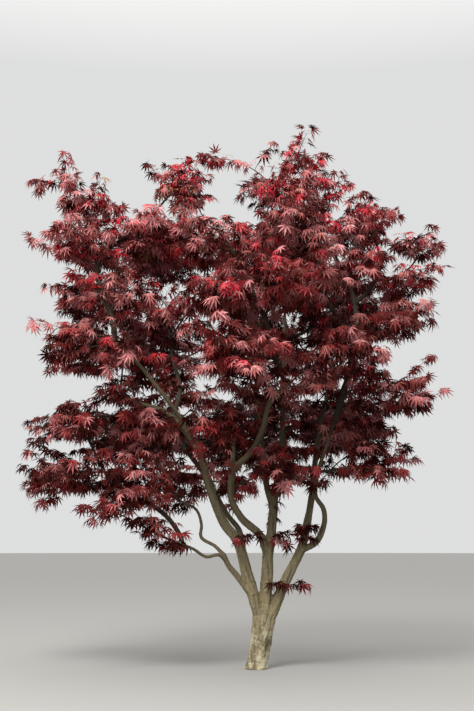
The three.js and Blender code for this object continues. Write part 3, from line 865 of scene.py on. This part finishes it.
def bark_group():
    """Bark as a node group: the colour and the fine height of smooth grey-brown bark, paler where
    lichen grows low on the trunk. Painted shade darkens it high up under the crown, on slim limbs
    and in the hollows, and the scars are darker too."""
    group = bpy.data.node_groups.new("maple_bark", "ShaderNodeTree")
    for way, kind, names in (("INPUT", "Color", ("Base", "Dark", "Lichen", "Moss")),
                             ("INPUT", "Float", ("Lichen height", "Scale")),
                             ("OUTPUT", "Color", ("Color",)),
                             ("OUTPUT", "Float", ("Height", "Roughness"))):
        for name in names:
            group.interface.new_socket(name, in_out=way, socket_type="NodeSocket" + kind)
    nodes, links = group.nodes, group.links
    given, put = nodes.new("NodeGroupInput"), nodes.new("NodeGroupOutput")
    place = nodes.new("ShaderNodeTexCoord")

    def give(value, socket):
        if isinstance(value, (int, float)):
            socket.default_value = value
        else:
            links.new(value, socket)

    def noise(scale, detail, stretch=(1, 1, 1), rough=0.6):
        mapping = nodes.new("ShaderNodeMapping")
        mapping.inputs["Scale"].default_value = stretch
        links.new(place.outputs["Object"], mapping.inputs["Vector"])
        n = nodes.new("ShaderNodeTexNoise")
        n.inputs["Detail"].default_value = detail
        n.inputs["Roughness"].default_value = rough
        times = math_node("MULTIPLY", given.outputs["Scale"], scale)
        links.new(times, n.inputs["Scale"])
        links.new(mapping.outputs["Vector"], n.inputs["Vector"])
        return n.outputs["Fac"]

    def math_node(operation, a, b):
        n = nodes.new("ShaderNodeMath")
        n.operation = operation
        for socket, value in zip(n.inputs, (a, b)):
            give(value, socket)
        return n.outputs[0]

    def ramp(value, low, high, to_low=0.0, to_high=1.0):
        n = nodes.new("ShaderNodeMapRange")
        n.interpolation_type = "SMOOTHSTEP"
        for name, number in (("From Min", low), ("From Max", high), ("To Min", to_low),
                             ("To Max", to_high), ("Value", value)):
            give(number, n.inputs[name])
        return n.outputs["Result"]

    def mix(fac, a, b):
        n = nodes.new("ShaderNodeMix")
        n.data_type = "RGBA"
        links.new(fac, n.inputs["Factor"])
        for socket, value in ((n.inputs["A"], a), (n.inputs["B"], b)):
            links.new(value, socket)
        return n.outputs["Result"]

    split = nodes.new("ShaderNodeSeparateXYZ")
    links.new(place.outputs["Object"], split.inputs["Vector"])
    up = split.outputs["Z"]
    hollow, slim = nodes.new("ShaderNodeAttribute"), nodes.new("ShaderNodeAttribute")
    hollow.attribute_name, slim.attribute_name = "hollow", "slim"
    broad = noise(9, 4, (1, 1, 0.4))
    streak = noise(48, 5, (1, 1, 0.16))
    fine = noise(150, 4)
    patches = noise(16, 6, (1, 1, 0.75), 0.7)
    spots = noise(60, 3)
    low_down = ramp(up, given.outputs["Lichen height"], 0.05)
    # base: streaks along the wood, painted shade in the hollows and darker scars
    tone = mix(ramp(streak, 0.34, 0.62, 0.42), given.outputs["Dark"], given.outputs["Base"])
    tone = mix(ramp(broad, 0.35, 0.7, 0.0, 0.5), tone, given.outputs["Base"])
    shaded_hollows_and_scars = mix(ramp(hollow.outputs["Fac"], 0.65, 1.0, 0.0, 0.5), tone, given.outputs["Dark"])
    # lichen: pale patches that thin out upwards, with yellow-green spots in them
    pale = math_node("MULTIPLY", ramp(patches, 0.44, 0.56), low_down)
    colour = mix(math_node("MULTIPLY", pale, 0.85), shaded_hollows_and_scars, given.outputs["Lichen"])
    yellow = math_node("MULTIPLY", math_node("MULTIPLY", ramp(spots, 0.54, 0.64), pale), 0.65)
    colour = mix(yellow, colour, given.outputs["Moss"])
    # painted shade: the bark darkens upwards, where the crown shades the limbs
    shade = ramp(up, 0.35, 1.15, 0.0, 0.75)
    colour = mix(shade, colour, given.outputs["Dark"])
    # painted shade: slim limbs darker, as they stand in the crown's shade
    colour = mix(ramp(slim.outputs["Fac"], 0.0, 1.0, 0.0, 0.7), colour, given.outputs["Dark"])
    links.new(colour, put.inputs["Color"])
    bumps = math_node("ADD", math_node("MULTIPLY", streak, 0.6), math_node("MULTIPLY", fine, 0.4))
    links.new(math_node("ADD", bumps, math_node("MULTIPLY", pale, 0.25)), put.inputs["Height"])
    links.new(ramp(fine, 0.3, 0.7, 0.72, 0.92), put.inputs["Roughness"])
    return group


def bark_material(name, group, base, dark, lichen, moss, lichen_height, scale, bump):
    """A bark from the node group, with its bumps."""
    material = new_material(name)
    nodes, links = material.node_tree.nodes, material.node_tree.links
    bark = nodes.new("ShaderNodeGroup")
    bark.node_tree = group
    colours = [(*colour, 1) for colour in (base, dark, lichen, moss)]
    for socket, value in zip(bark.inputs, (*colours, lichen_height, scale), strict=True):
        socket.default_value = value
    shader = nodes["Principled BSDF"]
    raised = nodes.new("ShaderNodeBump")
    raised.inputs["Strength"].default_value = 0.9
    raised.inputs["Distance"].default_value = bump
    links.new(bark.outputs["Height"], raised.inputs["Height"])
    links.new(raised.outputs["Normal"], shader.inputs["Normal"])
    links.new(bark.outputs["Color"], shader.inputs["Base Color"])
    links.new(bark.outputs["Roughness"], shader.inputs["Roughness"])
    shader.inputs["Specular IOR Level"].default_value = 0.25
    return material


# ---- The tree ----

lines = limb_lines()
woody = set(LIMBS) | {"trunk"}
mass_nodes = [n for n in sorted(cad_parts) if n not in woody]
stack_of = {n: n.rstrip("0123456789").rstrip("_") for n in mass_nodes}
solids = {n: corners_of(n) for n in mass_nodes}

found = []
for number, node in enumerate(mass_nodes):
    place, depth = layered_sprays(solids[node])
    found.append((place, depth, np.full(len(place), number)))
places, depths, home = map(np.concatenate, zip(*found))
shoots, shoot_home = outer_shoots(places, home, list(solids.values()))
loose = [np.array(row[:3]) + np.array(row[3:6]) * unit(chance.normal(0, 1, (row[6], 3)))
         * chance.uniform(0, 1, (row[6], 1)) ** 0.4 for row in LOOSE_SPRAYS.values()]
loose = np.vstack([*loose, RIM_SHOOTS])
mass_middles = np.array([solids[n].reshape(-1, 3).mean(axis=0) for n in mass_nodes])
loose_home = np.linalg.norm(loose[:, None] - mass_middles[None], axis=2).argmin(axis=1)
places = np.vstack([places, shoots, loose])
depths = np.concatenate([depths, np.zeros(len(shoots)),
                         np.where(loose[:, 2] < SHADE_HEIGHT, DEEP, SHALLOW)])
home = np.concatenate([home, shoot_home, loose_home])

found = []
for limb in lines.values():
    pick = np.arange(0, len(limb["line"]), 4)
    spots = limb["line"][pick]
    held = np.linalg.norm(spots[:, None] - loose[None], axis=2).min(axis=1) < NEARBY
    for corners in solids.values():
        held |= is_inside(spots, corners)
    held[-1] = True
    pick = pick[held]
    heading = unit(np.gradient(limb["line"], axis=0))[pick]
    found.append((spots[held], limb["way"][pick], heading, limb["radius"][pick]))
feet, feet_way, feet_heading, feet_radius = map(np.concatenate, zip(*found))
first = len(feet)

points, parent, order = grow_wiring(feet, feet_way, feet_heading, places)
load, main = loads(parent, order)
points = straighten(points, parent, main, load)
radius = TIP_RADIUS * load ** (1 / FORK_POWER)
radius[:first] = feet_radius

curve = twig_curves(points, parent, main, feet_heading)
edge = curve[0]
edge_home = home[edge - first]
below = parent[edge]
end_radius = np.minimum(radius[edge], BOUGH_RADIUS)
start_radius = np.where(main[below] == edge, radius[below],
                        np.minimum(radius[edge] * 1.15, radius[below]))
on_limb = np.minimum(end_radius * 1.2, 0.85 * radius[below])
start_radius = np.where(below < first, on_limb, start_radius)
edge_length = np.linalg.norm(curve[2] - curve[1], axis=1)

bark = bark_group()
trunk_bark, bough_bark = (bark_material(name, bark, *row) for name, row in BARKS.items())
twig_bark = plain_material("maple_twig_bark", (0.06, 0.02, 0.015), 0.6, Specular_IOR_Level=0.2)

wood = add_mesh("trunk_and_limbs", *woody_mesh(lines), [trunk_bark])
fuse(wood)
bark_relief(wood, lines)
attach(wood, "root")
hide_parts(*sorted(woody))

thick = end_radius > LEAFY_RADIUS
bough_points, bough_faces = twig_tubes(curve, np.flatnonzero(thick), start_radius[thick],
                                       end_radius[thick], sides=8, rings=7)
boughs = add_mesh("boughs", bough_points, bough_faces, [bough_bark], smooth=True)
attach(boughs, "root")

tones = deal_tones(points[edge], depths[edge - first], 5)
tip = np.flatnonzero(main[edge] < 0)
leafy = np.flatnonzero(~thick)
leaf_twig, leaf_place, stalk_way = leaves_on(curve, edge_length, leafy, tip)
count = len(leaf_twig)
stalk = STALK * chance.uniform(0.7, 1.25, (count, 1))
blade_base = leaf_place + stalk * stalk_way
droop = np.clip(chance.normal(SINK, SINK_SPREAD, (count, 1)), -0.2, 1.4)
level = unit(stalk_way * (1, 1, 0.25) + chance.normal(0, 0.22, (count, 3)))
axis = unit(level * np.cos(droop) - UP * np.sin(droop))
roll = np.clip(chance.normal(0, ROLL_SPREAD, (count, 1)), -1.1, 1.1)
normal = unit(UP + np.cross(axis, UP) * np.tan(roll))
size = LEAF * np.clip(chance.normal(1.0, 0.13, count), 0.65, 1.3)
blades, blade_faces = place_leaves(blade_base, axis, normal, size, chance.integers(0, 4, count))
stalks, stalk_faces = leaf_stalks(leaf_place, blade_base, STALK_RADIUS)
leaf_tone = tones[leaf_twig]
stray = chance.uniform(0, 1, count) < np.where(leaf_tone >= BRIGHT, 0.45, 0.15)
leaf_tone = np.where(stray, chance.integers(0, BRIGHT, count), leaf_tone)

leaf_set = leaf_materials()
for stack in sorted(set(stack_of.values())):
    members = [n for n in mass_nodes if stack_of[n] == stack]
    numbers = [mass_nodes.index(n) for n in members]
    mine = np.flatnonzero(np.isin(edge_home[leaf_twig], numbers))
    p = np.vstack([blades[mine].reshape(-1, 3), stalks[mine].reshape(-1, 3)])
    f = np.vstack([copied_faces(blade_faces, len(mine), blades.shape[1]),
                   copied_faces(stalk_faces, len(mine), stalks.shape[1])
                   + len(mine) * blades.shape[1]])
    tone = np.concatenate([np.repeat(leaf_tone[mine], len(blade_faces)),
                           np.full(len(mine) * len(stalk_faces), len(LEAF_TONES))])
    leaves = add_mesh("leaves_" + stack, p, f, leaf_set, tone)
    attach(leaves, "root")
    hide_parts(*members)
    thin = np.flatnonzero(~thick & np.isin(edge_home, numbers))
    if len(thin):
        p, f = twig_tubes(curve, thin, start_radius[thin], end_radius[thin], sides=3, rings=4)
        twigs = add_mesh("twigs_" + stack, p, f, [twig_bark], smooth=True)
        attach(twigs, "root")

# ---- Floor, light and camera ----

FLOOR_RADIUS, FLOOR_SIDES, FLOOR_DROP = 90, 96, 0.001
round_floor = np.arange(FLOOR_SIDES) * 2 * math.pi / FLOOR_SIDES
floor_rim = FLOOR_RADIUS * np.column_stack(
    [np.cos(round_floor), np.sin(round_floor), 0 * round_floor])
floor_mesh = bpy.data.meshes.new("floor")
floor_mesh.from_pydata((floor_rim - FLOOR_DROP * UP).tolist(), [], [tuple(range(FLOOR_SIDES))])
floor = bpy.data.objects.new("floor", floor_mesh)
bpy.context.scene.collection.objects.link(floor)
floor_mesh.materials.append(plain_material("floor", (0.26, 0.258, 0.25), 0.9))

world = bpy.data.worlds.new("studio")
bpy.context.scene.world = world
world.use_nodes = True
sky = world.node_tree
background = sky.nodes["Background"]
direction = sky.nodes.new("ShaderNodeTexCoord")
parts = sky.nodes.new("ShaderNodeSeparateXYZ")
height = sky.nodes.new("ShaderNodeMapRange")
height.inputs["From Min"].default_value = 0.45
height.inputs["From Max"].default_value = 0.95
blend = sky.nodes.new("ShaderNodeMix")
blend.data_type = "RGBA"
blend.inputs["A"].default_value = (0.73, 0.735, 0.735, 1)
blend.inputs["B"].default_value = (2.15, 2.1, 2.03, 1)
sky.links.new(direction.outputs["Generated"], parts.inputs["Vector"])
sky.links.new(parts.outputs["Z"], height.inputs["Value"])
sky.links.new(height.outputs["Result"], blend.inputs["Factor"])
sky.links.new(blend.outputs["Result"], background.inputs["Color"])
background.inputs["Strength"].default_value = 1.0


def soft_light(name, place, aim, size, power):
    lamp = bpy.data.lights.new(name, "AREA")
    lamp.shape = "DISK"
    lamp.size = size
    lamp.energy = power
    lamp.color = (1.0, 0.97, 0.93)
    obj = bpy.data.objects.new(name, lamp)
    obj.location = place
    obj.rotation_mode = "QUATERNION"
    obj.rotation_quaternion = (Vector(aim) - Vector(place)).to_track_quat("-Z", "Y")
    bpy.context.scene.collection.objects.link(obj)


soft_light("key", (-2.0, -4.6, 6.4), (0, 0, 1.9), 3.0, 690)
soft_light("low", (-4.2, -5.2, 1.9), (0, 0, 0.8), 2.0, 60)

camera_data = bpy.data.cameras.new("camera")
camera_data.lens = 50
camera_data.sensor_width = 36
camera = bpy.data.objects.new("camera", camera_data)
camera.location = (-0.113, -5.8, 0.68)
camera.rotation_euler = (math.radians(100.9), 0, 0)
bpy.context.scene.collection.objects.link(camera)
bpy.context.scene.camera = camera
bpy.context.scene.view_settings.view_transform = "Standard"
